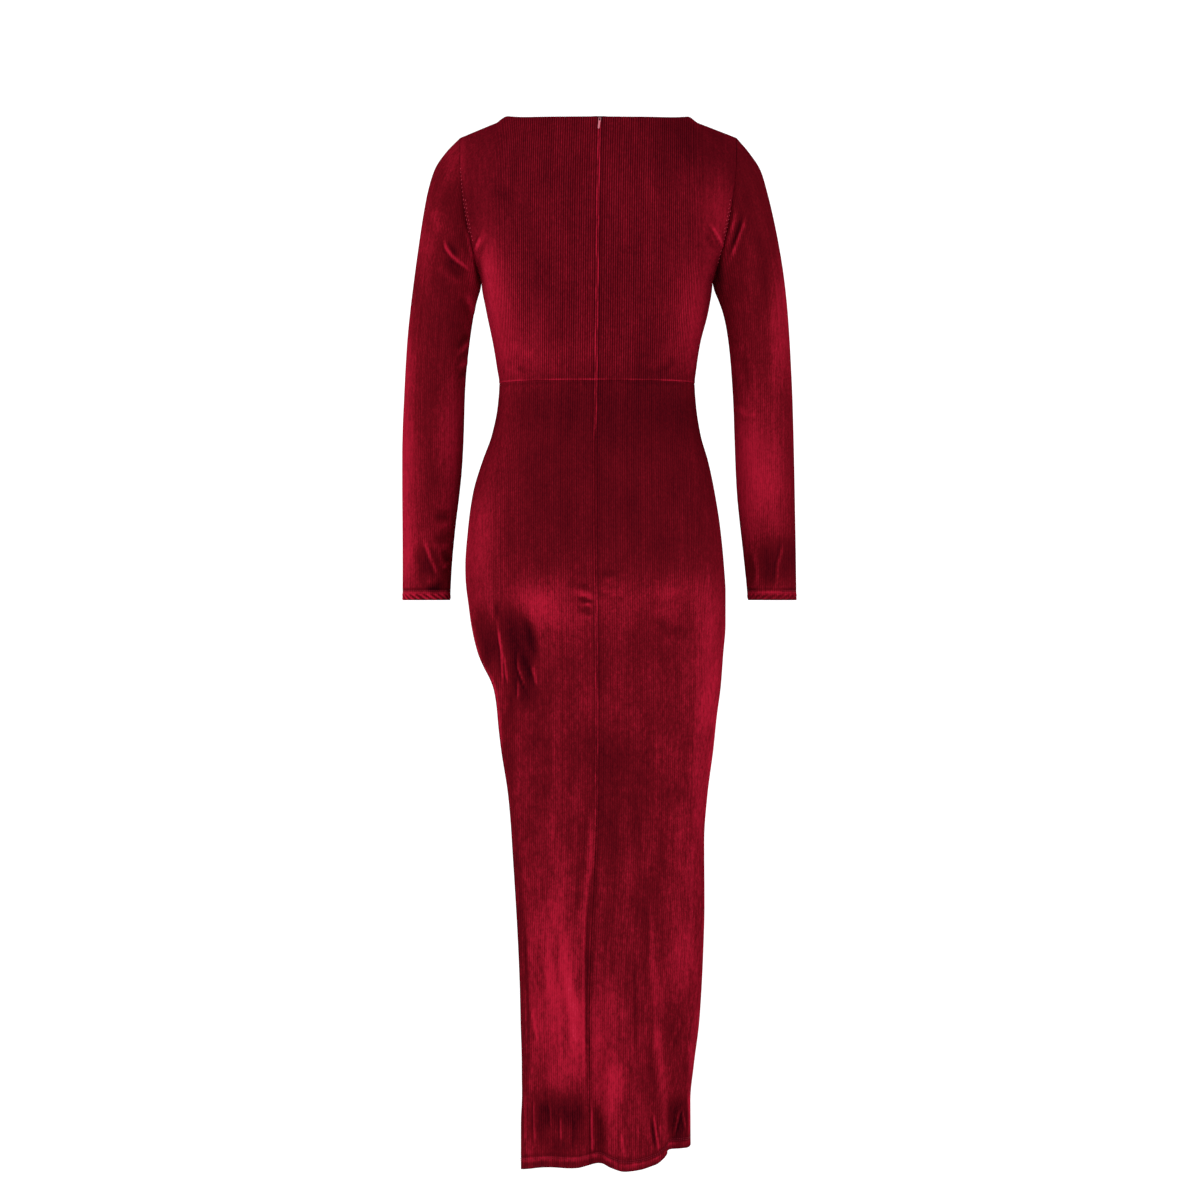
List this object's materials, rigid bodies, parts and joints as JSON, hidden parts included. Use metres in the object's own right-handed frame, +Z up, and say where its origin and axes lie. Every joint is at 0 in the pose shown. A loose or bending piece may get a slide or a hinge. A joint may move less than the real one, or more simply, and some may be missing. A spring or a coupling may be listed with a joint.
{
  "type": "bodycon maxi dress",
  "caption": "Worn long-sleeved bodycon maxi dress in ribbed velvet, wide neck, centre back zip, waist seam and a high slit on the wearer's left",
  "frame": {"origin": "the middle of the shoulder line, between the two neck corners, where the wearer holds the dress up", "axes": "+Z up along the length, +X to the wearer's left, -Y to the wearer's front"},
  "size_m": [0.5136, 0.261, 1.3547],
  "materials": {
    "velvet": "burgundy stretch velvet with a fine vertical rib",
    "zip_slider": "burgundy painted",
    "zip_pull_tab": "pale pink painted"
  },
  "bodies": {
    "dress": {"front_bodice": "velvet", "back_bodice_left": "velvet", "back_bodice_right": "velvet", "front_skirt": "velvet", "back_skirt_left": "velvet", "back_skirt_right": "velvet", "sleeve_left": "velvet", "sleeve_right": "velvet", "zip_slider": "zip_slider"},
    "pull_tab": {"zip_pull_tab": "zip_pull_tab"}
  },
  "joints": [
    {"name": "pull_tab_swing", "type": "hinge", "parent": "dress", "child": "pull_tab", "pos_m": [-0.00363, 0.08205, -0.00411], "axis": [1, 0, 0], "range_deg": [0, 150]}
  ]
}
